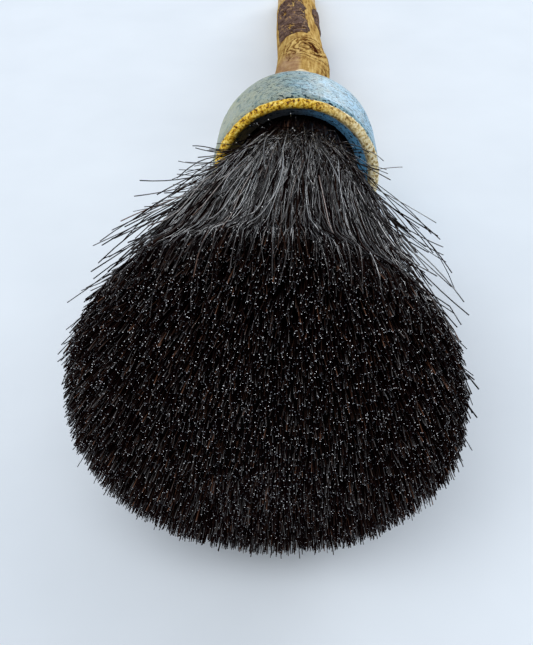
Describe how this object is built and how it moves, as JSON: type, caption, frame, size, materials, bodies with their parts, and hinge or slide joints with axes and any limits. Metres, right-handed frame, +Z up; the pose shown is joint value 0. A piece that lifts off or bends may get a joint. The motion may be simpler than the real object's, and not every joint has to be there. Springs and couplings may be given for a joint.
{
  "type": "neck duster brush",
  "caption": "Neck duster brush: a flared black hair tuft set in a glazed stoneware cup on a natural branch handle, lying at rest.",
  "frame": {"origin": "on the flat under the hair tuft, where the lying brush rests, below the tuft's widest section", "axes": "+Z up from the table, +Y along the lying brush towards the butt of the handle, +X to the right seen from the tuft's end; the handle slopes down to +Y by 5.83 degrees"},
  "size_m": [0.0708, 0.2789, 0.0684],
  "materials": {
    "hair": "satin",
    "cord": "matte",
    "resin": "gloss",
    "stoneware_glaze": "gloss",
    "glue": "satin",
    "branch_wood": "satin",
    "bark": "matte"
  },
  "bodies": {
    "brush_body": {"hair_root": "hair", "binding_cord": "cord", "potting_resin": "resin", "cup_ferrule": "stoneware_glaze", "handle_glue": "glue", "handle": "branch_wood", "bark_patches": "bark"},
    "tuft": {"hair_tuft": "hair"}
  },
  "joints": [
    {"name": "tuft_bend", "type": "hinge", "parent": "brush_body", "child": "tuft", "pos_m": [0.00469, 0.07895, 0.02493], "axis": [0, 0, 1], "range_deg": [-20, 20], "stiffness_Nm_per_rad": 0.3}
  ]
}
